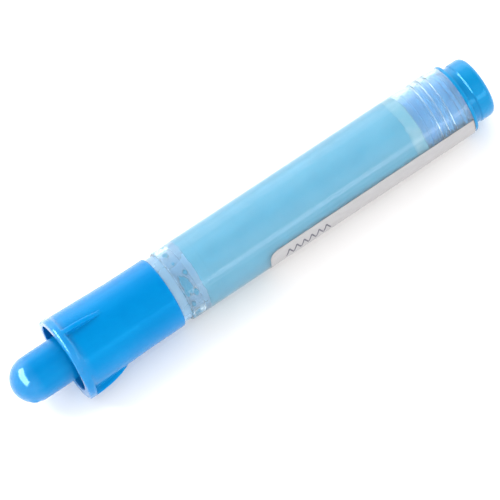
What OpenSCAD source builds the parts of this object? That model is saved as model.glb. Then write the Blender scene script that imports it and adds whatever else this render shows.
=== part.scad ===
// Powder chalk marking pen for fabric: toothed marking wheel, push-on cap and screwed rear plug.
// Millimetres. The pen lies along X, tip at -X and rear plug at +X, with one cap fin pointing to +Z.
// The origin is on the pen's axis, in the middle of the bare stretch of barrel between cap and label.

/* [Barrel] */
// Outer diameter of the barrel
barrel_d = 19.8; // [19.2:0.1:20.4]
// Wall thickness of the barrel
barrel_wall = 1.2; // [1.0:0.1:1.4]
// Length of the barrel
barrel_len = 88; // [80:1:100]
// Distance from the origin forward to the mouth of the barrel
barrel_mouth = 12; // [11:0.5:14]

/* [Cap] */
// Length of the cap from the tip of its nose to its rear edge
cap_len = 45.9; // [45.5:0.1:48]
// Diameter of the cap's nose tube
nose_d = 12.3; // [12.2:0.1:13]
// Length of nose that stands out in front of the skirt's mouth
nose_reach = 15.2; // [13:0.1:16]
// Diameter of the skirt at its front mouth
mouth_d = 21.56; // [21:0.02:22]
// Diameter of the skirt at the cap's rear edge
skirt_d = 19.9; // [19.7:0.1:20.4]
// Thickness of the lobed flange round the mouth
flange_t = 2.2; // [1.6:0.1:3]
// Greatest distance of a flange lobe from the axis
lobe_reach = 12.4; // [11.8:0.1:13]
// Length of the anti-roll fins behind the flange
fin_len = 10.7; // [8:0.1:12]
// Thickness of the anti-roll fins
fin_t = 1.25; // [1:0.05:2]
// Width of the gap between the cap's rear edge and the barrel, filled by the holder's collar
collar_len = 2.4; // [2:0.1:3]

/* [Rear plug] */
// Pitch of the plug's screw thread
thread_pitch = 2.1; // [1.9:0.05:2.3]
// Number of turns of thread on the plug
plug_turns = 4; // [3:0.5:4]
// Diameter of the plug's head
head_d = 16.9; // [16:0.1:18]
// Length of the plug's head behind its flange
head_len = 6.6; // [5:0.1:8]

/* [Marking wheel] */
// Diameter of the toothed marking wheel
wheel_d = 5.8; // [5.4:0.1:6]
// Thickness of the marking wheel
wheel_t = 0.9; // [0.7:0.05:1]
// Number of teeth on the marking wheel
teeth = 20; // [12:1:28]

/* [Label and powder] */
// Length of the paper label
label_len = 64.1; // [40:0.1:64.1]
// Angle that the label wraps round the barrel
label_wrap = 150; // [90:5:170]
// Length of the powder charge in the barrel
powder_len = 62.6; // [20:0.1:62.8]

/* [Hidden] */
$fn = 96;

// Barrel
barrel_r = barrel_d / 2;
bore_r = barrel_r - barrel_wall;
barrel_x = -barrel_mouth;
barrel_end_x = barrel_x + barrel_len;
mouth_chamfer = 0.3;

// Cap
cap_end_x = barrel_x - collar_len;
tip_x = cap_end_x - cap_len;
mouth_x = tip_x + nose_reach;
fin_x = mouth_x + flange_t;
nose_r = nose_d / 2;
nose_wall = 1.15;
nose_bore_r = nose_r - nose_wall;
mouth_r = mouth_d / 2;
skirt_r = skirt_d / 2;
skirt_wall = 1.25;
skirt_draft = 0.08;
flare_len = 19.3;
edge_r = 0.6;
socket_len = 14.4;
socket_r = 8.6;
socket_chamfer = 0.25;
web_t = 1.5;
web_x = cap_end_x - socket_len - web_t;
plate_margin = 0.03;
flat_reach = mouth_r + plate_margin;
lobe_shift = 2 * (lobe_reach - flat_reach);
lobe_r = lobe_reach - lobe_shift;
side_sink = 0.005;
side_r = lobe_r - side_sink;
fins = 3;
fin_rise = 1.7;
fin_fall = 2.6;
fin_sink = 0.1;
fin_steps = 12;
pad_t = 1.6;

// Tip holder, its seal and the powder
collar_r = 9.3;
neck_play = 0.1;
neck_r = socket_r - neck_play;
neck_len = 11.6;
neck_x = cap_end_x - neck_len;
neck_chamfer = 1.5;
holder_len = 6.8;
holder_end_x = barrel_x + holder_len;
rib_len = 2.7;
land_len = 0.6;
recess_depth = 0.6;
recess_r = bore_r - recess_depth;
seal_t = 1.8;
seal_r = 7.6;
funnel_r = 7.5;
spout_r = 2.7;
spigot_r = 4.0;
spigot_depth = 5;
spigot_x = barrel_x - spigot_depth;
powder_x = holder_end_x + seal_t;

// Nozzle, wheel and agitator
wheel_r = wheel_d / 2;
tooth_h = 0.42;
tooth_tip = 0.22;
tooth_flank = 0.28;
wheel_gap = 0.4;
axle_x = tip_x + nose_wall + pad_t + wheel_gap + wheel_r;
axle_r = 0.58;
axle_play = 0.04;
slot_play = 0.15;
slot_gap = 0.6;
cheek_y = 1.9;
cheek_r = 2.1;
nozzle_flange_r = 4.65;
nozzle_flange_t = 1.8;
nozzle_base_r = 4.3;
nozzle_front_r = 2.9;
cheek_len = 5;
nozzle_front_x = axle_x + cheek_len;
channel_r = 1.3;
chamber_r = 2.6;
chamber_len = 6.65;
chamber_x = spigot_x - chamber_len;
rod_r = 0.45;
rod_gap = 0.1;
rod_front_x = axle_x + wheel_r + rod_gap;
rod_collar_r = 2.1;
rod_collar_t = 0.6;
rod_collar_x = chamber_x + rod_gap;
rod_tail = 1.5;
rod_travel = 0.5;
rod_room = 0.15;
guide_t = 1.2;
guide_hole_r = 0.5;
guide_port_r = 0.7;
spring_r = 1.5;
wire_r = 0.2;
coils = 5;

// Rear plug and its seal ring
plug_reach = 14;
plug_front_x = barrel_end_x - plug_reach;
shank_r = 8.0;
shank_chamfer = 0.4;
plug_bore_r = 6.8;
thread_lead = 1.2;
thread_x = plug_front_x + thread_lead;
thread_tip_r = 8.52;
thread_foot = 1.0;
thread_top = 0.45;
thread_sink = 0.5;
thread_run_out = 0.04;
nut_turns = 3;
nut_lag = 1.5;
nut_x = thread_x + nut_lag * thread_pitch;
nut_tip_r = 8.2;
nut_top = 0.35;
groove_depth_x = 2.5;
groove_x = barrel_end_x - groove_depth_x;
groove_w = 1.4;
groove_r = 7.4;
ring_wire_r = 0.6;
ring_r = 8.05;
plug_flange_t = 1.0;
plug_flange_step = 0.15;
plug_flange_r = barrel_r - plug_flange_step;
plug_flange_chamfer = 0.3;
head_r = head_d / 2;
head_x = barrel_end_x + plug_flange_t;
plug_end_x = head_x + head_len;
head_round = 1.9;
head_wall = 2.4;
waist_depth = 0.3;
waist_len = 1.9;
waist_ramp = 0.4;
waist_r = head_r - waist_depth;

// Label
label_t = 0.08;
label_start = 72;

// Turns a shape drawn along Z so that it lies along X, with its +X side facing down
module along_x() {
    rotate([0, 90, 0])
        children();
}

// A solid of revolution about the pen's axis, from points given as [position along the pen, radius]
module turned(points) {
    along_x()
        rotate_extrude()
            polygon([for (p = points) [p[1], p[0]]]);
}

// Points of a quarter round that ends at radius r, with its centre at [x, r - e]
function round_end(x, r, e, steps = 6) =
    [for (i = [0:steps]) [x + e * sin(90 * i / steps), r - e + e * cos(90 * i / steps)]];

// Radius of the skirt at a distance from its mouth
function skirt_at(d) = d < flare_len
    ? mouth_r + (skirt_r + skirt_draft - mouth_r) * d / flare_len
    : skirt_r + skirt_draft * (1 - (d - flare_len) / (cap_end_x - mouth_x - flare_len));

// Height of a fin above the skirt, at a share of its length: it ends just below the surface
function fin_height(t) = fin_rise * (1 - pow(t, fin_fall)) - fin_sink * t;

// One section of a screw thread: two points on its root radius and two on its tip radius
function thread_section(z, root, tip, foot, top) =
    [[root, z - foot / 2], [tip, z - top / 2], [tip, z + top / 2], [root, z + foot / 2]];

// A helical ridge about the pen's axis, running out to nothing at both ends
module thread_ridge(x, turns, root, tip, edge, foot, top, start = 0, steps = 24) {
    n = turns * steps;
    ramp = steps / 3;
    points = [for (i = [0:n])
        let (share = max(thread_run_out, min(1, i / ramp, (n - i) / ramp)))
        let (a = start + 360 * i / steps)
        for (p = thread_section(x + thread_pitch * i / steps, root, edge + (tip - edge) * share, foot, top))
        [p[0] * cos(a), p[0] * sin(a), p[1]]];
    sides = [for (i = [0:n - 1])
        for (k = [0:3])
        let (a = 4 * i + k)
        let (b = 4 * i + (k + 1) % 4)
        for (f = [[a, b, a + 4], [b, b + 4, a + 4]])
        f];
    ends = [[3, 2, 1], [3, 1, 0], [4 * n, 4 * n + 1, 4 * n + 2], [4 * n, 4 * n + 2, 4 * n + 3]];
    faces = concat(sides, ends);
    along_x()
        polyhedron(points, tip > edge ? faces : [for (f = faces) [f[2], f[1], f[0]]]);
}

// Rounded triangle through the three lobes, drawn about the axis
module lobed_plate() {
    for (i = [0:fins - 1])
        rotate(180 + i * 360 / fins)
            translate([lobe_shift, 0])
                circle(r = lobe_r);
    polygon([for (i = [0:fins - 1])
        let (a = 180 + i * 360 / fins)
        for (side = [-1, 1])
        let (b = a + side * 180 / fins)
        [lobe_shift * cos(a) + side_r * cos(b), lobe_shift * sin(a) + side_r * sin(b)]]);
}

module fin() {
    root = skirt_r - skirt_wall / 2;
    crest = [for (i = [0:fin_steps])
        let (t = i / fin_steps)
        [fin_x + fin_len * t, skirt_at(flange_t + fin_len * t) + fin_height(t)]];
    rotate([90, 0, 0])
        linear_extrude(height = fin_t, center = true)
            polygon(concat([[fin_x - flange_t / 2, root], [fin_x - flange_t / 2, crest[0][1]]], crest,
                [[fin_x + fin_len, root]]));
}

module cap() {
    color([0.00, 0.57, 0.92]) {
        difference() {
            union() {
                translate([tip_x + nose_r, 0, 0])
                    sphere(r = nose_r);
                turned([[tip_x + nose_r, 0], [tip_x + nose_r, nose_r], [web_x + web_t, nose_r],
                    [web_x + web_t, 0]]);
            }
            translate([tip_x + nose_r, 0, 0])
                sphere(r = nose_bore_r);
            turned([[tip_x + nose_r, 0], [tip_x + nose_r, nose_bore_r], [web_x + web_t + 1, nose_bore_r],
                [web_x + web_t + 1, 0]]);
        }
        turned(concat(
            [[mouth_x, mouth_r], [mouth_x + flare_len, skirt_at(flare_len)]],
            round_end(cap_end_x - edge_r, skirt_r, edge_r),
            [[cap_end_x, socket_r + socket_chamfer], [cap_end_x - socket_chamfer, socket_r],
             [web_x + web_t, socket_r], [web_x + web_t, nose_r - nose_wall / 2],
             [web_x, nose_r - nose_wall / 2], [web_x, skirt_r - skirt_wall],
             [mouth_x, mouth_r - skirt_wall]]));
        difference() {
            translate([mouth_x, 0, 0])
                along_x()
                    linear_extrude(height = flange_t)
                        lobed_plate();
            turned([[mouth_x - 1, 0], [mouth_x - 1, mouth_r - skirt_wall / 2],
                [fin_x + 1, mouth_r - skirt_wall / 2], [fin_x + 1, 0]]);
        }
        for (i = [0:fins - 1])
            rotate([i * 360 / fins, 0, 0])
                fin();
    }
}

// Soft pad in the bottom of the nose that keeps powder in when the cap is on
module cap_seal_pad() {
    color([0.93, 0.93, 0.90])
        intersection() {
            translate([tip_x + nose_r, 0, 0])
                sphere(r = nose_bore_r);
            translate([tip_x, -nose_r, -nose_r])
                cube([nose_wall + pad_t, nose_d, nose_d]);
        }
}

// Corners of one tooth as [share of the tooth's angle, radius]: tip, flank and floor
function tooth_points() = [[0, wheel_r], [tooth_tip, wheel_r], [tooth_tip + tooth_flank, wheel_r - tooth_h],
    [1 - tooth_flank, wheel_r - tooth_h]];

// Toothed wheel that rolls along the cloth and carries powder out of the slot
module marking_wheel() {
    color([0.80, 0.78, 0.70])
        translate([axle_x, 0, 0])
            rotate([90, 0, 0])
                difference() {
                    linear_extrude(height = wheel_t, center = true)
                        polygon([for (i = [0:teeth - 1])
                            for (p = tooth_points())
                            let (a = 360 * (i + p[0]) / teeth)
                            [p[1] * cos(a), p[1] * sin(a)]]);
                    cylinder(r = axle_r + axle_play, h = wheel_t + 1, center = true);
                }
}

module wheel_axle() {
    color([0.75, 0.76, 0.78])
        translate([axle_x, 0, 0])
            rotate([90, 0, 0])
                cylinder(r = axle_r, h = 2 * cheek_y, center = true);
}

module nozzle_blank() {
    turned([[nozzle_front_x, 0], [nozzle_front_x, nozzle_front_r], [neck_x - nozzle_flange_t, nozzle_base_r],
        [neck_x - nozzle_flange_t, nozzle_flange_r], [neck_x, nozzle_flange_r], [neck_x, spigot_r],
        [spigot_x, spigot_r], [spigot_x, 0]]);
    translate([axle_x, -cheek_y, -cheek_r])
        cube([nozzle_front_x - axle_x + 1, 2 * cheek_y, 2 * cheek_r]);
    translate([axle_x, 0, 0])
        rotate([90, 0, 0])
            cylinder(r = cheek_r, h = 2 * cheek_y, center = true);
}

// Hollow nozzle whose two cheeks carry the wheel, with a channel that feeds powder to the slot
module nozzle() {
    slot_y = wheel_t / 2 + slot_play;
    slot_end_x = axle_x + wheel_r + slot_gap;
    color([0.90, 0.92, 0.95])
        difference() {
            nozzle_blank();
            translate([tip_x, -slot_y, -wheel_r - 1])
                cube([slot_end_x - tip_x, 2 * slot_y, 2 * wheel_r + 2]);
            turned([[slot_end_x - 0.5, 0], [slot_end_x - 0.5, channel_r], [chamber_x, channel_r],
                [chamber_x, chamber_r], [spigot_x + 1, chamber_r], [spigot_x + 1, 0]]);
            translate([axle_x, 0, 0])
                rotate([90, 0, 0])
                    cylinder(r = axle_r, h = 2 * cheek_y + 1, center = true);
        }
}

// Thin rod that the wheel's teeth jog, which keeps the powder loose
module agitator_rod() {
    color([0.85, 0.86, 0.88])
        turned([[rod_front_x, 0], [rod_front_x, rod_r], [rod_collar_x, rod_r], [rod_collar_x, rod_collar_r],
            [rod_collar_x + rod_collar_t, rod_collar_r], [rod_collar_x + rod_collar_t, rod_r],
            [spigot_x + rod_tail, rod_r], [spigot_x + rod_tail, 0]]);
}

// Compression spring between the rod's collar and the guide
module agitator_spring() {
    front_x = rod_collar_x + rod_collar_t + wire_r;
    back_x = spigot_x - guide_t - wire_r;
    steps = 16;
    sides = 6;
    n = coils * steps;
    points = [for (i = [0:n])
        let (a = 360 * i / steps)
        for (k = [0:sides - 1])
        let (r = spring_r + wire_r * cos(360 * k / sides))
        [r * cos(a), r * sin(a), front_x + (back_x - front_x) * i / n + wire_r * sin(360 * k / sides)]];
    skin = [for (i = [0:n - 1])
        for (k = [0:sides - 1])
        let (a = sides * i + k)
        let (b = sides * i + (k + 1) % sides)
        for (f = [[a, a + sides, b], [b, a + sides, b + sides]])
        f];
    first = [for (k = [0:sides - 1]) k];
    last = [for (k = [sides - 1:-1:0]) sides * n + k];
    color([0.70, 0.71, 0.73])
        along_x()
            polyhedron(points, concat(skin, [first, last]));
}

// Spider at the back of the nozzle that guides the rod and lets powder through
module agitator_guide() {
    holes = 4;
    color([0.88, 0.90, 0.93])
        translate([spigot_x - guide_t, 0, 0])
            along_x()
                difference() {
                    cylinder(r = chamber_r, h = guide_t);
                    translate([0, 0, -1])
                        cylinder(r = guide_hole_r, h = guide_t + 2);
                    for (i = [0:holes - 1])
                        rotate(i * 360 / holes)
                            translate([(chamber_r + guide_hole_r) / 2, 0, -1])
                                cylinder(r = guide_port_r, h = guide_t + 2);
                }
}

// Clear moulding pressed into the barrel's mouth: neck for the cap, collar, grip ribs and powder funnel
module tip_holder() {
    color([0.80, 0.88, 0.95])
        turned([[neck_x, spigot_r], [neck_x, neck_r - neck_chamfer], [neck_x + neck_chamfer, neck_r],
            [cap_end_x, neck_r], [cap_end_x, collar_r], [barrel_x, collar_r], [barrel_x, bore_r],
            [barrel_x + land_len, bore_r], [barrel_x + land_len, recess_r],
            [holder_end_x - rib_len, recess_r], [holder_end_x - rib_len, bore_r],
            [holder_end_x, bore_r], [holder_end_x, funnel_r],
            [spigot_x, spout_r], [spigot_x, spigot_r]]);
}

module holder_seal() {
    color([0.72, 0.84, 0.92])
        turned([[holder_end_x, seal_r], [holder_end_x, bore_r], [powder_x, bore_r], [powder_x, seal_r]]);
}

// Clear reservoir tube with the plug's thread inside its rear end
module barrel() {
    color([0.72, 0.85, 0.94, 0.6]) {
        turned([[barrel_x, bore_r], [barrel_x, barrel_r - mouth_chamfer],
            [barrel_x + mouth_chamfer, barrel_r], [barrel_end_x - mouth_chamfer, barrel_r],
            [barrel_end_x, barrel_r - mouth_chamfer], [barrel_end_x, bore_r]]);
        thread_ridge(nut_x, nut_turns, bore_r + thread_sink, nut_tip_r, bore_r, thread_foot, nut_top);
    }
}

// Charge of marking powder that reaches down the holder's funnel, with a hollow where the rod's tail moves
module chalk_powder() {
    hollow_x = spigot_x + rod_tail + rod_travel + rod_room;
    color([0.46, 0.72, 0.87])
        turned([[hollow_x, 0], [hollow_x, rod_r + rod_room], [spigot_x, rod_r + rod_room],
            [spigot_x, spout_r], [holder_end_x, funnel_r], [holder_end_x, seal_r], [powder_x, seal_r],
            [powder_x, bore_r], [powder_x + powder_len, bore_r], [powder_x + powder_len, 0]]);
}

module label() {
    color([0.83, 0.82, 0.84])
        translate([barrel_end_x - label_len, 0, 0])
            along_x()
                rotate(180 + label_start)
                    rotate_extrude(angle = label_wrap)
                        translate([barrel_r, 0])
                            square([label_t, label_len - mouth_chamfer]);
}

module plug_seal_ring() {
    color([0.10, 0.35, 0.60])
        translate([groove_x + groove_w / 2, 0, 0])
            along_x()
                rotate_extrude()
                    translate([ring_r, 0])
                        circle(r = ring_wire_r);
}

// Screwed plug that closes the rear of the barrel and is taken out to refill it
module rear_plug() {
    color([0.00, 0.60, 0.90]) {
        turned(concat(
            [[plug_front_x, plug_bore_r], [plug_front_x, shank_r - shank_chamfer],
             [plug_front_x + shank_chamfer, shank_r], [groove_x, shank_r], [groove_x, groove_r],
             [groove_x + groove_w, groove_r], [groove_x + groove_w, shank_r],
             [barrel_end_x, shank_r], [barrel_end_x, plug_flange_r],
             [head_x - plug_flange_chamfer, plug_flange_r], [head_x, plug_flange_r - plug_flange_chamfer],
             [head_x, waist_r], [head_x + waist_len, waist_r], [head_x + waist_len + waist_ramp, head_r]],
            round_end(plug_end_x - head_round, head_r, head_round),
            [[plug_end_x, 0], [plug_end_x - head_wall, 0], [plug_end_x - head_wall, plug_bore_r]]));
        thread_ridge(thread_x, plug_turns, shank_r - thread_sink, thread_tip_r, shank_r,
            thread_foot, thread_top);
    }
}

cap();
cap_seal_pad();
marking_wheel();
wheel_axle();
nozzle();
agitator_rod();
agitator_spring();
agitator_guide();
tip_holder();
holder_seal();
barrel();
chalk_powder();
label();
plug_seal_ring();
rear_plug();
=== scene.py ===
"""Looks of a powder chalk marking pen. The pen lies along X, its tip at -X, with one cap fin pointing to +Z.

Stations are metres along the pen. The main ones, and the main radii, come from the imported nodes' boxes.
"""
import math
import random

import bmesh
import bpy
from mathutils import Matrix, Vector


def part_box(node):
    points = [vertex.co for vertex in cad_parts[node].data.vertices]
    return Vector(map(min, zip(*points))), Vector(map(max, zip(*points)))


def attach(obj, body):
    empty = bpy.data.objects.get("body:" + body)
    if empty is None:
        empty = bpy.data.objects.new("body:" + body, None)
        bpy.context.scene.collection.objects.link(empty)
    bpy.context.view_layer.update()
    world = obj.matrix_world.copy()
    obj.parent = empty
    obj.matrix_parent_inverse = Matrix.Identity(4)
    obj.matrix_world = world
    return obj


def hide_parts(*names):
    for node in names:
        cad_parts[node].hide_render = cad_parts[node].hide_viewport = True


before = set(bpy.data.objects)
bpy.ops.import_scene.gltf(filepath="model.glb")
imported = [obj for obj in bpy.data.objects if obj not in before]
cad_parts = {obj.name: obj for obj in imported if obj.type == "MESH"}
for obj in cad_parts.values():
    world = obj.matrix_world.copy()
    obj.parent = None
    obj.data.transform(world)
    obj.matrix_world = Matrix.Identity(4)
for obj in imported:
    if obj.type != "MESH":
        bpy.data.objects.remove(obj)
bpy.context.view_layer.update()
MM = 0.001


# ---------------------------------------------------------------- stations and sizes

def span(node, axis=0):
    """Where a CAD node starts and ends along an axis."""
    low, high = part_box(node)
    return low[axis], high[axis]


BARREL_X, BARREL_END_X = span("barrel")
BARREL_R = span("barrel", 1)[1]
CAP_TIP_X, CAP_END_X = span("cap")
HOLDER_END_X = span("tip_holder")[1]
POWDER_X = span("holder_seal")[1]
BORE_R = span("holder_seal", 1)[1]
SPIGOT_X, POWDER_END_X = span("chalk_powder")
PLUG_X, PLUG_END_X = span("rear_plug")
LABEL_X, LABEL_END_X = span("label")

# label
LABEL_R = BARREL_R + 0.08 * MM
LABEL_FIRST, LABEL_WRAP = math.radians(72), math.radians(150)
LABEL_CORNER = 2.6 * MM

# cap
NOSE_R = 6.15 * MM
NOSE_STEPS = 24
NOSE_WALL = 1.15 * MM
GATE_X, GATE_ANGLE = CAP_TIP_X + 3.0 * MM, math.radians(103)
GATE_HEIGHT, GATE_R = 0.28 * MM, 0.5 * MM
MOUTH_X = CAP_TIP_X + 15.2 * MM
MOUTH_R, MOUTH_WALL = 10.78 * MM, 1.3 * MM
FLANGE_LENGTH, FLANGE_EDGE = 2.2 * MM, 0.35 * MM
FLANGE_BACK_X = MOUTH_X + FLANGE_LENGTH
SKIRT_R, SKIRT_WALL = 9.95 * MM, 1.25 * MM
SKIRT_DRAFT = 0.08 * MM
WEB_X, WEB_THICK = CAP_END_X - 15.9 * MM, 1.5 * MM
SOCKET_R = 8.6 * MM
LOBE_REACH = 12.4 * MM
FIN_LENGTH, FIN_HEIGHT, FIN_HALF = 10.7 * MM, 1.7 * MM, 0.625 * MM
FIN_R = 11 * MM
FIN_THIRD = 2 * math.pi / 3
FLARE_LENGTH = 19.3 * MM

# thread between barrel and plug: the screw is on the plug, the nut is in the barrel
THREAD_PITCH = 2.1 * MM
SCREW_X, SCREW_R, SCREW_LENGTH = PLUG_X + 1.2 * MM, 8.0 * MM, 9.5 * MM
NUT_X, NUT_LENGTH = SCREW_X + 1.5 * THREAD_PITCH, 9 * MM
FINE_STEP = 0.14 * MM

# powder and dust: how far it reaches into the wall that it clings to, and how thick a film of it is
CONTACT, FILM_THICK = 0.012 * MM, 0.12 * MM
FRONT_FILM_X = HOLDER_END_X - 1.2 * MM


# ---------------------------------------------------------------- mesh helpers

def arc_corner(before, corner, after, radius, steps):
    """Points of a fillet at a corner of an outline."""
    a, b, c = Vector(before), Vector(corner), Vector(after)
    u, v = (a - b), (c - b)
    if u.length < 1e-9 or v.length < 1e-9 or radius <= 0:
        return [tuple(b)]
    half = u.angle(v) / 2
    if half > math.radians(88):
        return [tuple(b)]
    reach = min(radius / math.tan(half), 0.45 * u.length, 0.45 * v.length)
    start, end = b + u.normalized() * reach, b + v.normalized() * reach
    return [tuple((1 - t) ** 2 * start + 2 * t * (1 - t) * b + t ** 2 * end)
            for t in (i / steps for i in range(steps + 1))]


def outline(corners, closed=False, longest=1.0 * MM, steps=4):
    """An outline of (x, r, fillet) corners, with its fillets made and its long edges divided."""
    count = len(corners)
    rounded = []
    for i, (x, r, fillet) in enumerate(corners):
        if fillet and (closed or 0 < i < count - 1):
            before, after = corners[i - 1], corners[(i + 1) % count]
            rounded += arc_corner(before[:2], (x, r), after[:2], fillet, steps)
        else:
            rounded.append((x, r))
    points = []
    total = len(rounded)
    for i in range(total if closed else total - 1):
        a, b = Vector(rounded[i]), Vector(rounded[(i + 1) % total])
        parts = max(1, math.ceil((b - a).length / longest))
        points += [tuple(a.lerp(b, k / parts)) for k in range(parts)]
    if not closed:
        points.append(rounded[-1])
    return points


def divide(points, closed, wanted):
    """Divides the stretches along X for which wanted(x, r, next r) holds, finely enough for a thread."""
    fine = []
    for (x, r), (nx, nr) in zip(points, points[1:] + (points[:1] if closed else points[-1:])):
        fine.append((x, r))
        if wanted(x, r, nr):
            parts = max(1, round(abs(nx - x) / FINE_STEP))
            fine += [(x + (nx - x) * k / parts, r) for k in range(1, parts)]
    return fine


def around(x, r, angle):
    """A point at station x and radius r, at an angle from +Z towards -Y."""
    return (x, -r * math.sin(angle), r * math.cos(angle))


def mesh_object(name, verts, faces, smooth=True):
    """A new object in the scene, made of the given vertices and faces."""
    mesh = bpy.data.meshes.new(name)
    mesh.from_pydata(verts, [], faces)
    mesh.validate()
    mesh.polygons.foreach_set("use_smooth", [smooth] * len(mesh.polygons))
    mesh.update()
    piece = bpy.data.objects.new(name, mesh)
    bpy.context.scene.collection.objects.link(piece)
    return piece


def lathe(name, points, closed=False, sides=128, radius=None, angles=None):
    """A turned solid. radius(x, r, angle, i) may change the radius, and an open outline ends on the axis."""
    angles = angles or [2 * math.pi * k / sides for k in range(sides)]
    sides = len(angles)
    verts, rings = [], []
    for i, (x, r) in enumerate(points):
        if r < 1e-7:
            rings.append([len(verts)] * sides)
            verts.append((x, 0, 0))
            continue
        rings.append(list(range(len(verts), len(verts) + sides)))
        for a in angles:
            rr = radius(x, r, a, i) if radius else r
            verts.append(around(x, rr, a))
    faces = []
    pairs = list(zip(rings, rings[1:])) + ([(rings[-1], rings[0])] if closed else [])
    for low, high in pairs:
        for k in range(sides):
            n = (k + 1) % sides
            quad = [low[k], high[k], high[n], low[n]]
            face = [v for j, v in enumerate(quad) if v not in quad[:j]]
            if len(face) > 2:
                faces.append(face)
    piece = mesh_object(name, verts, faces)
    outward(piece)
    return piece


def outward(piece):
    """Turns all faces of a closed mesh to point outwards."""
    bm = bmesh.new()
    bm.from_mesh(piece.data)
    bmesh.ops.recalc_face_normals(bm, faces=bm.faces)
    if bm.calc_volume(signed=True) < 0:
        bmesh.ops.reverse_faces(bm, faces=bm.faces)
    bm.to_mesh(piece.data)
    bm.free()


def smooth_step(t):
    """0 below 0, 1 above 1, and a soft S between them."""
    t = min(1.0, max(0.0, t))
    return t * t * (3 - 2 * t)


# ---------------------------------------------------------------- materials

def new_material(name):
    """A new node material, with its node tree and its shader."""
    material = bpy.data.materials.new(name)
    material.use_nodes = True
    tree = material.node_tree
    return material, tree, tree.nodes["Principled BSDF"]


def link(tree, output, socket):
    """Joins a node's output to another node's input."""
    tree.links.new(output, socket)


def axis_of(tree, coordinates, axis):
    """One axis of a texture coordinate."""
    coords = tree.nodes.new("ShaderNodeTexCoord")
    split = tree.nodes.new("ShaderNodeSeparateXYZ")
    link(tree, coords.outputs[coordinates], split.inputs["Vector"])
    return split.outputs[axis]


def noise(tree, scale, detail, rough=0.55, stretch=(1, 1, 1)):
    """Noise in the piece's own space, in features per metre."""
    coords = tree.nodes.new("ShaderNodeTexCoord")
    mapping = tree.nodes.new("ShaderNodeMapping")
    mapping.inputs["Scale"].default_value = stretch
    texture = tree.nodes.new("ShaderNodeTexNoise")
    texture.inputs["Scale"].default_value = scale
    texture.inputs["Detail"].default_value = detail
    texture.inputs["Roughness"].default_value = rough
    link(tree, coords.outputs["Object"], mapping.inputs["Vector"])
    link(tree, mapping.outputs["Vector"], texture.inputs["Vector"])
    return texture.outputs["Fac"]


def ramp(tree, value, stops):
    """A colour ramp of (place, colour) stops."""
    node = tree.nodes.new("ShaderNodeValToRGB")
    elements = node.color_ramp.elements
    while len(elements) < len(stops):
        elements.new(0.5)
    for element, (place, color) in zip(elements, stops):
        element.position = place
        element.color = (*color, 1.0)
    link(tree, value, node.inputs["Fac"])
    return node.outputs["Color"]


def spread(tree, value, low, high, start=0.3, end=0.7):
    """Maps start to end of a value to low to high."""
    node = tree.nodes.new("ShaderNodeMapRange")
    node.inputs["From Min"].default_value = start
    node.inputs["From Max"].default_value = end
    node.inputs["To Min"].default_value = low
    node.inputs["To Max"].default_value = high
    link(tree, value, node.inputs["Value"])
    return node.outputs["Result"]


def bump(tree, shader, value, depth, strength=0.5):
    """Relief of the given depth in metres."""
    node = tree.nodes.new("ShaderNodeBump")
    node.inputs["Strength"].default_value = strength
    node.inputs["Distance"].default_value = depth
    link(tree, value, node.inputs["Height"])
    link(tree, node.outputs["Normal"], shader.inputs["Normal"])


def moulded(name, dark, light, rough, grain=900, depth=0.00002, subsurface=0.0, radius=(1, 1, 1),
            reach=0.002, **sockets):
    """Moulded plastic or rubber: slow colour drift, slow gloss variation and a faint moulded skin."""
    material, tree, shader = new_material(name)
    link(tree, ramp(tree, noise(tree, 60, 3), [(0.35, dark), (0.65, light)]), shader.inputs["Base Color"])
    link(tree, spread(tree, noise(tree, 120, 2), rough * 0.8, rough * 1.25), shader.inputs["Roughness"])
    bump(tree, shader, noise(tree, grain, 3), depth)
    shader.inputs["Subsurface Weight"].default_value = subsurface
    shader.inputs["Subsurface Radius"].default_value = radius
    shader.inputs["Subsurface Scale"].default_value = reach
    for socket, value in sockets.items():
        shader.inputs[socket.replace("_", " ")].default_value = value
    return material


BLUE_RADIUS, BLUE_TINT = (0.02, 0.8, 1.0), (0.04, 0.6, 1.0, 1.0)
cap_blue = moulded("cap_blue", (0.0, 0.18, 0.46), (0.0, 0.20, 0.49), rough=0.2, subsurface=0.3, reach=0.003,
                   radius=BLUE_RADIUS, Specular_Tint=BLUE_TINT, Coat_Roughness=0.13)
plug_blue = moulded("plug_blue", (0.0, 0.20, 0.45), (0.0, 0.225, 0.48), rough=0.1, subsurface=0.2,
                    radius=BLUE_RADIUS, Specular_Tint=BLUE_TINT, Coat_Weight=0.2, Coat_Roughness=0.05)
clear = moulded("clear_frosted", (0.64, 0.84, 0.96), (0.68, 0.87, 0.98), rough=0.08, grain=200,
                depth=0.000001, Transmission_Weight=0.9, IOR=1.42)
milky = moulded("milky_clear", (0.34, 0.60, 0.84), (0.44, 0.68, 0.90), rough=0.28, grain=200, depth=0.000002,
                Transmission_Weight=0.5, IOR=1.45)
white_plastic = moulded("nozzle_white", (0.52, 0.57, 0.62), (0.60, 0.64, 0.68), rough=0.3, subsurface=0.2)
seal_rubber = moulded("seal_rubber", (0.07, 0.38, 0.58), (0.11, 0.42, 0.62), rough=0.6)
ring_rubber = moulded("ring_rubber", (0.0, 0.33, 0.64), (0.03, 0.38, 0.69), rough=0.4)
foam = moulded("pad_foam", (0.50, 0.50, 0.46), (0.62, 0.62, 0.58), rough=0.9, grain=2500, depth=0.0001)


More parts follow.
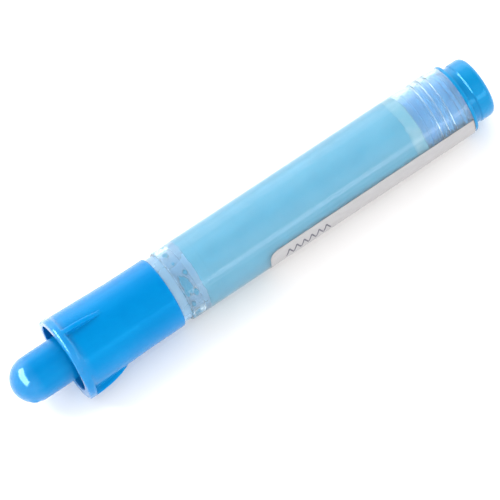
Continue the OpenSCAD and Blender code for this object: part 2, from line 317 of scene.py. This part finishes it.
def dust_and_painted_light_before(material, full_x, none_x, low, high):
    """Mixes a powder colour into a material's colour: three quarters of it up to full_x, and none past
    none_x. On the plug this colour is partly powder dust and partly painted light.
    """
    tree = material.node_tree
    shader = tree.nodes["Principled BSDF"]
    plain = shader.inputs["Base Color"].links[0].from_socket
    share = spread(tree, axis_of(tree, "Object", "X"), 0.0, 0.75, none_x, full_x)
    mix = tree.nodes.new("ShaderNodeMix")
    mix.data_type = "RGBA"
    link(tree, share, mix.inputs[0])
    link(tree, plain, mix.inputs[6])
    link(tree, ramp(tree, noise(tree, 240, 5), [(0.35, low), (0.65, high)]), mix.inputs[7])
    link(tree, mix.outputs[2], shader.inputs["Base Color"])


def polish(material, stops):
    """Gives a moulding a glossier skin along X: stops of (x, coat weight)."""
    tree = material.node_tree
    start, end = stops[0][0], stops[-1][0]
    place = spread(tree, axis_of(tree, "Object", "X"), 0.0, 1.0, start, end)
    weights = [((x - start) / (end - start), (w, w, w)) for x, w in stops]
    link(tree, ramp(tree, place, weights), tree.nodes["Principled BSDF"].inputs["Coat Weight"])


NECK_GLOSS = 0.05
polish(cap_blue, [(CAP_TIP_X, 0.5), (CAP_TIP_X + 4.5 * MM, 0.6), (CAP_TIP_X + 7 * MM, NECK_GLOSS),
                  (MOUTH_X - 0.6 * MM, NECK_GLOSS), (MOUTH_X, 0.6), (FLANGE_BACK_X, 0.3),
                  (FLANGE_BACK_X + 2 * MM, 0.0)])
# The plug's shank inside the barrel gets a brighter blue: partly powder dust, partly painted light that
# lifts the shank out of the shade of the flange and the barrel.
DUST_AND_PAINTED_LIGHT_LOW, DUST_AND_PAINTED_LIGHT_HIGH = (0.0, 0.32, 0.62), (0.02, 0.39, 0.70)
dust_and_painted_light_before(plug_blue, BARREL_END_X - 0.9 * MM, BARREL_END_X - 0.05 * MM, DUST_AND_PAINTED_LIGHT_LOW, DUST_AND_PAINTED_LIGHT_HIGH)


def metal(name, color, worn, rough, stretch):
    """Worn metal with fine drawn lines."""
    material, tree, shader = new_material(name)
    link(tree, ramp(tree, noise(tree, 300, 6), [(0.4, color), (0.7, worn)]), shader.inputs["Base Color"])
    lines = noise(tree, 1500, 4, stretch=stretch)
    link(tree, spread(tree, lines, rough * 0.7, rough * 1.4), shader.inputs["Roughness"])
    bump(tree, shader, lines, 0.00001, 0.35)
    shader.inputs["Metallic"].default_value = 1.0
    return material


steel = metal("drawn_steel", (0.55, 0.56, 0.58), (0.72, 0.73, 0.75), 0.3, (0.05, 1, 1))
brass = metal("wheel_brass", (0.60, 0.45, 0.22), (0.82, 0.68, 0.42), 0.28, (1, 0.1, 1))


def chalk_material(name, dark, light):
    """Fine matt powder with soft clumps."""
    material, tree, shader = new_material(name)
    clumps = noise(tree, 160, 8, 0.6)
    link(tree, ramp(tree, clumps, [(0.3, dark), (0.7, light)]), shader.inputs["Base Color"])
    shader.inputs["Roughness"].default_value = 0.95
    shader.inputs["Specular IOR Level"].default_value = 0.15
    bump(tree, shader, noise(tree, 1800, 5, 0.6), 0.000012, 0.4)
    return material


CHALK_DARK, CHALK_LIGHT = (0.065, 0.355, 0.485), (0.09, 0.39, 0.52)
chalk = chalk_material("chalk_powder", CHALK_DARK, CHALK_LIGHT)
pale_chalk = chalk_material("pale_chalk", (0.13, 0.40, 0.49), (0.32, 0.51, 0.56))
dust_and_painted_light_before(pale_chalk, POWDER_END_X - 0.8 * MM, POWDER_END_X + 0.3 * MM, CHALK_DARK, CHALK_LIGHT)
caked_chalk = chalk_material("caked_chalk", (0.0, 0.22, 0.37), (0.0, 0.28, 0.43))


def paper_material():
    """Matt label paper with faint fibres."""
    material, tree, shader = new_material("label_paper")
    fibres = noise(tree, 900, 6, 0.7, (0.35, 1, 1))
    link(tree, ramp(tree, fibres, [(0.3, (0.34, 0.335, 0.34)), (0.7, (0.39, 0.385, 0.395))]),
         shader.inputs["Base Color"])
    link(tree, spread(tree, fibres, 0.5, 0.7), shader.inputs["Roughness"])
    bump(tree, shader, fibres, 0.00003, 0.4)
    return material


def ink_material():
    """Dark print with a slightly uneven tone."""
    material, tree, shader = new_material("label_ink")
    link(tree, ramp(tree, noise(tree, 1500, 4), [(0.35, (0.05, 0.05, 0.07)), (0.75, (0.16, 0.16, 0.2))]),
         shader.inputs["Base Color"])
    shader.inputs["Roughness"].default_value = 0.55
    return material


paper = paper_material()
ink = ink_material()


def dress(piece, material, body, slot, *stands_for):
    """Gives a new piece its material and body, and hides the CAD nodes that it stands for. The slot is not
    used.
    """
    piece.data.materials.clear()
    piece.data.materials.append(material)
    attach(piece, body)
    if stands_for:
        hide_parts(*stands_for)
    return piece


# ---------------------------------------------------------------- cap

def skirt_at(d):
    """Radius of the skirt's outside at a distance behind the mouth."""
    end = SKIRT_R + SKIRT_DRAFT
    if d < FLARE_LENGTH:
        return MOUTH_R + (end - MOUTH_R) * d / FLARE_LENGTH
    return end - SKIRT_DRAFT * (d - FLARE_LENGTH) / (CAP_END_X - MOUTH_X - FLARE_LENGTH)


def from_fin(angle):
    """Signed angle from the nearest fin's middle."""
    return (angle + FIN_THIRD / 2) % FIN_THIRD - FIN_THIRD / 2


def lobed_radius(angle):
    """Radius of the flange: a triangle with round lobes at the three fins."""
    shift = 2 * (LOBE_REACH - MOUTH_R - 0.03 * MM)
    lobe = LOBE_REACH - shift
    a = from_fin(angle)
    on_lobe = shift * math.cos(a) + math.sqrt(lobe ** 2 - (shift * math.sin(a)) ** 2)
    flat = (shift / 2 + lobe) / math.cos(math.pi / 3 - abs(a))
    return min(on_lobe, flat)


def cap_angles():
    """Angles round the cap, closer together where the sides of a fin stand."""
    half = math.atan2(FIN_HALF, FIN_R)
    edge = [0, 0.45, 0.75, 0.88, 0.96, 1.02, 1.08, 1.15, 1.25, 1.45, 1.8, 2.4, 3.4]
    gaps = 34
    angles = []
    for fin in range(3):
        fine = sorted({side * e * half for e in edge for side in (-1, 1)})
        coarse = [fine[-1] + (FIN_THIRD - 2 * fine[-1]) * k / gaps for k in range(1, gaps)]
        angles += [fin * FIN_THIRD + a for a in fine + coarse]
    return angles


def with_gate_mark(x, r, angle):
    """Adds the low round mark that the mould's gate leaves on the nose."""
    away = math.hypot(x - GATE_X, r * (angle - GATE_ANGLE))
    return r + GATE_HEIGHT * (1 - smooth_step((away - GATE_R) / (0.8 * MM)))


def with_flange(x, r, angle):
    """Brings the skirt's round outside to the flange's lobes and flats near the mouth."""
    d = x - MOUTH_X
    if d > FLANGE_LENGTH + 0.3 * MM:
        return r
    back = smooth_step((FLANGE_LENGTH - d) / FLANGE_EDGE + 0.5)
    front = smooth_step(0.6 + 0.4 * min(1.0, d / (0.7 * MM)))
    return r + (lobed_radius(angle) - skirt_at(d)) * back * front


def fin_radius(x, r, angle):
    """Radius of the fins and of the soft fillets at their feet, and 0 where no fin stands."""
    t = (x - FLANGE_BACK_X) / FIN_LENGTH
    if not -0.1 < t < 1:
        return 0.0
    t = max(t, 0)
    height = FIN_HEIGHT * (1 - t ** 2.6)
    y = abs(from_fin(angle)) * FIN_R
    side = 1 - smooth_step((y - FIN_HALF + 0.10 * MM) / (0.22 * MM))
    crown = 1 - 0.12 * min(1.0, y / FIN_HALF) ** 4
    foot = 0.12 * MM * math.exp(-max(0.0, y - FIN_HALF) / (0.35 * MM)) * min(1.0, height / (0.5 * MM))
    return max(r + height * side * crown, r + foot * (1 - t))


def quarter_round(radius, steps, order):
    """Corners of a quarter circle about the nose's centre, from the axis outwards in the given order."""
    return [(CAP_TIP_X + NOSE_R - radius * math.cos(a), radius * math.sin(a), 0)
            for a in (math.pi / 2 * k / steps for k in order)]


def cap_points():
    """Outline of the cap, from the outside of the nose's tip round to the inside of it."""
    inner = NOSE_R - NOSE_WALL
    socket_x = WEB_X + WEB_THICK
    nose = quarter_round(NOSE_R, NOSE_STEPS, range(NOSE_STEPS))
    nose += [(CAP_TIP_X + NOSE_R, NOSE_R, 0), (WEB_X, NOSE_R, 0.8 * MM)]
    cup = [(WEB_X, SKIRT_R - SKIRT_WALL, 0.8 * MM), (MOUTH_X, MOUTH_R - MOUTH_WALL, 0.3 * MM)]
    outside = [(MOUTH_X, MOUTH_R, 0.35 * MM), (MOUTH_X + FLARE_LENGTH, skirt_at(FLARE_LENGTH), 4 * MM),
               (CAP_END_X, SKIRT_R, 0.7 * MM)]
    socket = [(CAP_END_X, SOCKET_R + 0.02 * MM, 0.3 * MM), (socket_x, SOCKET_R, 0.5 * MM),
              (socket_x, inner, 0.3 * MM)]
    return nose + cup + outside + socket + quarter_round(inner, 10, range(10, -1, -1))


def make_cap():
    """A blue cap in one moulding: nose, cup, flange with three lobes, fins and flared skirt."""
    points = outline(cap_points(), longest=0.55 * MM, steps=6)
    at_mouth = [i for i, (x, r) in enumerate(points)
                if x < MOUTH_X + 1e-5 and NOSE_R + 1 * MM < r < MOUTH_R]
    on_skirt = [i for i, (x, r) in enumerate(points) if r > SKIRT_R - 0.9 * MM]
    outside = range(max(at_mouth) + 1, max(on_skirt) + 1)

    def shaped(x, r, angle, i):
        if i < NOSE_STEPS:
            return with_gate_mark(x, r, angle)
        if i not in outside:
            return r
        return max(with_flange(x, r, angle), fin_radius(x, r, angle))

    piece = lathe("cap_shell", points, angles=cap_angles(), radius=shaped)
    return dress(piece, cap_blue, "cap", "cap_plastic", "cap")


make_cap()


# ---------------------------------------------------------------- barrel, with its thread inside

def ridge(phase, foot, top):
    """Height, 0 to 1, of a thread ridge of the given widths at a distance from its middle."""
    return 1 - smooth_step((abs(phase) - top / 2) / ((foot - top) / 2))


def thread(x, angle, start_x, turns, foot, top):
    """Height, 0 to 1, of a right-hand helical ridge that starts at start_x."""
    turn = (math.pi - angle) / (2 * math.pi)
    local = (x - start_x) / THREAD_PITCH - turn
    nearest = round(local)
    along = nearest + turn
    fade = smooth_step(min(along, turns - along) * 3 + 0.05)
    if along < 0 or along > turns:
        return 0.0
    return ridge((local - nearest) * THREAD_PITCH, foot, top) * fade


def make_barrel():
    """A clear tube, drawn onto the holder at its front end and threaded inside at its rear end."""
    nut_end, inside = NUT_X + NUT_LENGTH, BORE_R + 0.05 * MM
    overlap = 0.03 * MM  # on the holder, so that no two faces lie in the same place

    def threaded_part(x):
        return NUT_X - 2 * MM < x < nut_end

    def bore(x, r, angle, i):
        if r < inside and x < POWDER_X:
            return r - overlap
        if r > BORE_R + 0.3 * MM or not threaded_part(x):
            return r
        return r - 0.3 * MM * thread(x, angle, NUT_X, 3, 0.6 * MM, 0.12 * MM)

    corners = [(BARREL_X, BARREL_R, 0.35 * MM), (BARREL_END_X, BARREL_R, 0.3 * MM),
               (BARREL_END_X, BORE_R, 0.25 * MM), (nut_end, BORE_R, 0), (BARREL_X, BORE_R, 0.25 * MM)]
    points = divide(outline(corners, closed=True), True,
                    lambda x, r, nr: max(r, nr) < inside and threaded_part(x))
    piece = lathe("barrel_tube", points, closed=True, sides=120, radius=bore)
    return dress(piece, clear, "pen_body", "clear_plastic", "barrel")


make_barrel()


# ---------------------------------------------------------------- rear plug

def make_plug():
    """A hollow threaded shank with a ring groove, a flange, a waist and a round-edged head."""
    bore, head, flange = 6.8 * MM, 8.45 * MM, BARREL_R - 0.15 * MM
    waist, groove_floor = head - 0.3 * MM, SCREW_R - 0.6 * MM
    cup_end = PLUG_END_X - 2.4 * MM
    head_x = BARREL_END_X + 1.0 * MM
    groove, groove_end = BARREL_END_X - 2.5 * MM, BARREL_END_X - 1.1 * MM
    screw_end = SCREW_X + SCREW_LENGTH

    def threaded(x, r, angle, i):
        if abs(r - SCREW_R) > 0.05 * MM or not SCREW_X - 1 * MM < x < screw_end:
            return r
        return r + 0.55 * MM * thread(x, angle, SCREW_X, 4, 0.8 * MM, 0.25 * MM)

    corners = [(cup_end, 0, 0), (cup_end, bore, 1.2 * MM), (PLUG_X, bore, 0.2 * MM),
               (PLUG_X, SCREW_R - 0.4 * MM, 0.1 * MM), (PLUG_X + 0.4 * MM, SCREW_R, 0.1 * MM),
               (screw_end, SCREW_R, 0), (groove, SCREW_R, 0.1 * MM), (groove, groove_floor, 0.15 * MM),
               (groove_end, groove_floor, 0.15 * MM), (groove_end, SCREW_R, 0.1 * MM),
               (BARREL_END_X, SCREW_R, 0.1 * MM), (BARREL_END_X, flange, 0.15 * MM),
               (head_x, flange, 0.4 * MM), (head_x, waist, 0.3 * MM), (head_x + 1.9 * MM, waist, 0.3 * MM),
               (head_x + 2.3 * MM, head, 0.4 * MM), (PLUG_END_X, head, 1.9 * MM), (PLUG_END_X, 0, 0)]
    points = divide(outline(corners, longest=0.8 * MM, steps=6), False,
                    lambda x, r, nr: max(abs(r - SCREW_R), abs(nr - SCREW_R)) < 0.02 * MM and x < screw_end)
    piece = lathe("plug_shell", points, sides=120, radius=threaded)
    return dress(piece, plug_blue, "rear_plug", "plug_plastic", "rear_plug")


make_plug()


# ---------------------------------------------------------------- powder and caked residue

def wobble(angle, seed, terms=9):
    """Smooth random curve round the pen, between about -1 and 1."""
    rng = random.Random(seed)
    return sum(math.sin(k * angle + rng.uniform(0, 6.28)) * rng.uniform(0.3, 1) / k ** 0.6
               for k in range(1, terms)) / 3


def make_powder():
    """The charge fills the bore and ends in a crumbly slope near the plug."""
    funnel_r, spout_r, seal_r, fill_r = 7.5 * MM, 2.7 * MM, 7.6 * MM, BORE_R + 0.03 * MM
    slope_length = 4 * MM
    slope_x = POWDER_END_X - slope_length
    loose_x = POWDER_END_X - 3.9 * MM
    corners = [(SPIGOT_X, 0, 0), (SPIGOT_X, spout_r, 0.2 * MM), (HOLDER_END_X, funnel_r, 0),
               (HOLDER_END_X, seal_r, 0), (POWDER_X, seal_r, 0), (POWDER_X, fill_r, 0.1 * MM),
               (slope_x, fill_r, 0)]
    points = outline(corners, longest=0.9 * MM)
    points += [(slope_x + slope_length * k / 24, fill_r) for k in range(1, 25)]
    points += [(POWDER_END_X, fill_r * (1 - k / 20)) for k in range(1, 21)]
    piece = lathe("powder_charge", points, sides=200)
    rng = random.Random(3)
    for v in piece.data.vertices:
        x, y, z = v.co
        if x < loose_x:
            continue
        angle, r = math.atan2(-y, z), math.hypot(y, z)
        share = smooth_step((x - loose_x) / (3.6 * MM))
        ragged = 0.5 * wobble(angle, 5) + 0.35 * wobble(angle * 3, 8, 14) + rng.uniform(-0.02, 0.02)
        heap = 0.4 * math.cos(angle - 2.6) * r / BORE_R
        v.co.x = x + share * 0.9 * MM * min(0.15, 1.5 * ragged - 0.4 - heap)
    return dress(piece, chalk, "pen_body", "chalk", "chalk_powder")


def patch(x, angle, half_x, half_s, seed, floor_r, height):
    """Vertices and faces of an irregular flat lump that lies on a round wall."""
    rings, spokes = 5, 22
    verts = [around(x, floor_r + height, angle)]
    for ring in range(1, rings + 1):
        t = ring / rings
        for k in range(spokes):
            phi = 2 * math.pi * k / spokes
            reach = t * (1 + 0.38 * wobble(phi, seed))
            crown = 1.3 * math.sqrt(max(0.0, 1 - t ** 3)) * (1 + 0.1 * wobble(phi + t * 2, seed + 1))
            lift = height * min(1.0, crown)
            verts.append(around(x + half_x * reach * math.cos(phi), floor_r + lift,
                                angle + half_s * reach * math.sin(phi) / floor_r))
    verts.append(around(x, floor_r - 0.05 * MM, angle))
    faces = [(0, 1 + k, 1 + (k + 1) % spokes) for k in range(spokes)]
    for ring in range(rings - 1):
        a, b = 1 + ring * spokes, 1 + (ring + 1) * spokes
        faces += [(a + k, b + k, b + (k + 1) % spokes, a + (k + 1) % spokes) for k in range(spokes)]
    rim, last = 1 + (rings - 1) * spokes, len(verts) - 1
    faces += [(rim + (k + 1) % spokes, rim + k, last) for k in range(spokes)]
    return verts, faces


def lumps(name, material, patches):
    """One piece made of many patches, given in mm and degrees: x, angle, half sizes, wall radius, height."""
    verts, faces = [], []
    for seed, (x, degrees, half_x, half_s, floor_r, height) in enumerate(patches):
        more, corners = patch(x * MM, math.radians(degrees), half_x * MM, half_s * MM, 11 * seed,
                              floor_r * MM, height * MM)
        faces += [tuple(v + len(verts) for v in face) for face in corners]
        verts += more
    piece = mesh_object(name, verts, faces)
    outward(piece)
    return dress(piece, material, "pen_body", "chalk")


def make_residue():
    """Powder caked in the holder's recess, and loose crumbs on the bore behind the powder's edge."""
    rng = random.Random(21)
    recess_r = 8.5
    full = (BORE_R + CONTACT) / MM - recess_r
    dark = [(-9.7, -4, 0.4, 0.5, recess_r, full), (-8.6, 20, 0.65, 0.8, recess_r, full),
            (-10.0, 37, 1.3, 2.9, recess_r, full), (-10.9, 50, 0.7, 1.4, recess_r, full),
            (-8.8, 57, 0.75, 1.1, recess_r, full), (-4.6, 55, 0.3, 0.35, 8.66, 0.07),
            (-10.7, 74, 0.6, 1.0, recess_r, full)]
    dark += [(rng.uniform(-10.9, -8.6), rng.uniform(88, 335), rng.uniform(0.25, 0.9),
              rng.uniform(0.3, 1.4), recess_r, full) for _ in range(26)]
    lumps("caked_powder", caked_chalk, dark)
    end = POWDER_END_X / MM
    crumbs = [(end + rng.uniform(-0.6, 3.4), rng.uniform(0, 360), rng.uniform(0.08, 0.24),
               rng.uniform(0.08, 0.24), 8.42, 0.2) for _ in range(90)]
    lumps("loose_crumbs", chalk, crumbs)


def bore_film(name, material, start, end, front_reach, rear_reach, seed):
    """A thin ring of dust on the bore with ragged edges."""
    low, high = BORE_R - FILM_THICK, BORE_R + CONTACT
    corners = [(start, high, 0), (end, high, 0), (end, low, 0), (start, low, 0)]
    points = outline(corners, closed=True, longest=0.3 * MM)
    piece = lathe(name, points, closed=True, sides=240)
    for v in piece.data.vertices:
        x, y, z = v.co
        angle = math.atan2(-y, z)
        share = (x - start) / (end - start)
        ragged = min(0.3, 0.6 * wobble(angle, seed) + 0.4 * wobble(angle * 4, seed + 6, 12) - 0.3)
        v.co.x = x + ragged * (smooth_step(share) * rear_reach - smooth_step(1 - share) * front_reach)
    return dress(piece, material, "pen_body", "chalk")


def make_bore_films():
    """Pale dust between the powder and the plug, and powder on the collar's rear end."""
    bore_film("rear_dust_film", pale_chalk, POWDER_END_X - 4.5 * MM, PLUG_X + 0.4 * MM, 0, 0.5 * MM, 31)
    bore_film("front_dust_film", chalk, FRONT_FILM_X, POWDER_X + 0.6 * MM, 0.9 * MM, 0, 43)


make_powder()
make_residue()
make_bore_films()


# ---------------------------------------------------------------- label

def make_label():
    """A sheet with round corners, wrapped round the lower side of the barrel."""
    across, along = 60, 90
    thick = LABEL_R - BARREL_R
    width = LABEL_WRAP * BARREL_R
    length = LABEL_END_X - LABEL_X
    verts, faces = [], []
    for layer in (0, 1):
        for i in range(along + 1):
            u = i / along
            for j in range(across + 1):
                v = j / across
                s = v * width
                inset = 0
                gap = min(s, width - s)
                if gap < LABEL_CORNER:
                    inset = LABEL_CORNER - math.sqrt(max(0.0, LABEL_CORNER ** 2 - (LABEL_CORNER - gap) ** 2))
                x = LABEL_X + inset + (length - inset) * u
                angle = LABEL_FIRST + s / BARREL_R
                verts.append(around(x, BARREL_R + thick * layer, angle))
    row = across + 1
    size = (along + 1) * row
    for i in range(along):
        for j in range(across):
            a = i * row + j
            faces.append((a, a + 1, a + row + 1, a + row))
            faces.append((a + size, a + size + row, a + size + row + 1, a + size + 1))
    rim = [j for j in range(row)] + [i * row + across for i in range(1, along + 1)]
    rim += [along * row + j for j in range(across - 1, -1, -1)] + [i * row for i in range(along - 1, 0, -1)]
    for a, b in zip(rim, rim[1:] + rim[:1]):
        faces.append((a, a + size, b + size, b))
    piece = mesh_object("label_sheet", verts, faces)
    outward(piece)
    return dress(piece, paper, "pen_body", "label_paper", "label")


def make_stitch_marks():
    """A printed zigzag stitch near the front end of the label."""
    turns, inset, step = 13, 4.6 * MM, 1.15 * MM
    low, high = math.radians(85) * LABEL_R, math.radians(101) * LABEL_R
    path = [Vector((LABEL_X + inset + step * k, low if k % 2 else high)) for k in range(turns)]
    half, thick, parts = 0.21 * MM, 0.012 * MM, 4
    verts, faces = [], []
    for a, b in zip(path, path[1:]):
        side = Vector((-(b - a).y, (b - a).x)).normalized() * half
        base = len(verts)
        for i in range(parts + 1):
            middle = a.lerp(b, i / parts)
            for edge in (middle - side, middle + side):
                for r in (LABEL_R - 0.002 * MM, LABEL_R + thick):
                    verts.append(around(edge.x, r, edge.y / LABEL_R))
        for i in range(parts):
            c = base + 4 * i
            faces += [(c + 1, c + 3, c + 7, c + 5), (c, c + 4, c + 6, c + 2), (c, c + 1, c + 5, c + 4),
                      (c + 2, c + 6, c + 7, c + 3)]
        c = base + 4 * parts
        faces += [(base, base + 2, base + 3, base + 1), (c, c + 1, c + 3, c + 2)]
    piece = mesh_object("stitch_marks", verts, faces, smooth=False)
    outward(piece)
    return dress(piece, ink, "pen_body", "label_paper")


make_label()
make_stitch_marks()


# ---------------------------------------------------------------- carried-over CAD nodes

CARRIED_OVER = {"cap_seal_pad": foam, "marking_wheel": brass, "wheel_axle": steel, "nozzle": white_plastic,
                "agitator_rod": steel, "agitator_spring": steel, "agitator_guide": white_plastic,
                "tip_holder": milky, "holder_seal": seal_rubber, "plug_seal_ring": ring_rubber}

for node, material in CARRIED_OVER.items():
    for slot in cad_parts[node].material_slots:
        slot.material = material


# ---------------------------------------------------------------- floor, light and camera

def make_floor():
    """A pale floor that touches the cap's flange and the rear end of the barrel."""
    front_gap, back_gap = 0.03 * MM, 0.14 * MM
    front = (FLANGE_BACK_X + MOUTH_X) / 2, -MOUTH_R - front_gap
    back = BARREL_END_X, -BARREL_R - back_gap
    slope = (back[1] - front[1]) / (back[0] - front[0])
    reach = 3.0
    verts = [(x, y, front[1] + slope * (x - front[0])) for x in (-reach, reach) for y in (-reach, reach)]
    floor = mesh_object("floor", verts, [(0, 2, 3, 1)], smooth=False)
    material, tree, shader = new_material("floor_pale")
    link(tree, ramp(tree, noise(tree, 8, 3), [(0.3, (0.955, 0.945, 0.93)), (0.7, (0.97, 0.96, 0.945))]),
         shader.inputs["Base Color"])
    shader.inputs["Roughness"].default_value = 0.9
    shader.inputs["Specular IOR Level"].default_value = 0.1
    floor.data.materials.append(material)


def area_light(name, azimuth, elevation, distance, size, power, color=(1, 1, 1), aim=(0.01, 0, 0)):
    """A soft box, at an azimuth and elevation seen from its aim, as the camera's angles are given."""
    data = bpy.data.lights.new(name, "AREA")
    data.shape = "RECTANGLE"
    data.size, data.size_y = size
    data.energy = power
    data.color = color
    a, e = math.radians(azimuth), math.radians(elevation)
    back = Vector((math.sin(a) * math.cos(e), -math.cos(a) * math.cos(e), math.sin(e)))
    light = bpy.data.objects.new(name, data)
    light.location = Vector(aim) + back * distance
    light.rotation_euler = back.to_track_quat("Z", "Y").to_euler()
    bpy.context.scene.collection.objects.link(light)
    return light


def make_world():
    """A white tent: bright at its foot and on the near and far sides, dimmer overhead."""
    world = bpy.data.worlds.new("white_tent")
    world.use_nodes = True
    tree = world.node_tree
    mix = tree.nodes.new("ShaderNodeMix")
    mix.data_type, mix.blend_type = "RGBA", "LIGHTEN"
    mix.inputs[0].default_value = 1.0
    height = axis_of(tree, "Generated", "Z")
    foot = ramp(tree, height, [(0.0, (0.98, 0.98, 0.98)), (0.3, (0.93, 0.93, 0.94)),
                               (0.62, (0.46, 0.46, 0.47)), (1.0, (0.40, 0.40, 0.41))])
    across = spread(tree, axis_of(tree, "Generated", "Y"), 0.0, 1.0, -1.0, 1.0)
    side = ramp(tree, across, [(0.0, (0.95, 0.95, 0.95)), (0.25, (0.70, 0.70, 0.71)),
                               (0.42, (0.40, 0.40, 0.41)), (0.55, (0.42, 0.42, 0.43)),
                               (0.68, (0.66, 0.67, 0.69)), (0.82, (0.86, 0.87, 0.88)),
                               (1.0, (0.86, 0.87, 0.88))])
    link(tree, foot, mix.inputs[6])
    link(tree, side, mix.inputs[7])
    link(tree, mix.outputs[2], tree.nodes["Background"].inputs["Color"])
    tree.nodes["Background"].inputs["Strength"].default_value = 2.15
    bpy.context.scene.world = world


def reflector(light):
    """Keeps a light for reflections only."""
    light.visible_diffuse = False
    light.visible_transmission = False


def make_lights():
    """A key beyond the cap, a wide panel on the far side, and two panels that only show as reflections."""
    key = area_light("key", -124, 46, 1.0, (0.2, 0.2), 2.4, (1.0, 0.99, 0.97))
    key.visible_glossy = False
    area_light("side", 176, 24, 1.0, (1.6, 0.5), 2.4)
    reflector(area_light("tall_panel", -104, 42, 1.0, (1.6, 0.5), 42.0))
    reflector(area_light("low_strip", 24, 21, 0.8, (0.5, 0.2), 0.9, aim=(0.05, 0, 0)))


CAMERA_AZIMUTH = -22.57
CAMERA_ELEVATION = 61.25
CAMERA_ROLL = -13.51
CAMERA_DISTANCE = 1.0241
CAMERA_AIM = (0.01002, -0.00288, -0.00138)
CAMERA_LENS = 290.4


def make_camera():
    """The photograph's view, as an azimuth, an elevation and a roll about the aim."""
    a, e, roll = (math.radians(v) for v in (CAMERA_AZIMUTH, CAMERA_ELEVATION, CAMERA_ROLL))
    back = Vector((math.sin(a) * math.cos(e), -math.cos(a) * math.cos(e), math.sin(e)))
    level = Vector((math.cos(a), math.sin(a), 0))
    up = back.cross(level)
    right = level * math.cos(roll) + up * math.sin(roll)
    top = back.cross(right)
    data = bpy.data.cameras.new("camera")
    data.lens = CAMERA_LENS
    data.sensor_width = 36
    data.clip_start = 0.01
    camera = bpy.data.objects.new("camera", data)
    turn = Matrix((right, top, back)).transposed().to_4x4()
    camera.matrix_world = Matrix.Translation(Vector(CAMERA_AIM) + back * CAMERA_DISTANCE) @ turn
    bpy.context.scene.collection.objects.link(camera)
    bpy.context.scene.camera = camera


make_floor()
make_world()
make_lights()
make_camera()
bpy.context.scene.view_settings.view_transform = "Standard"
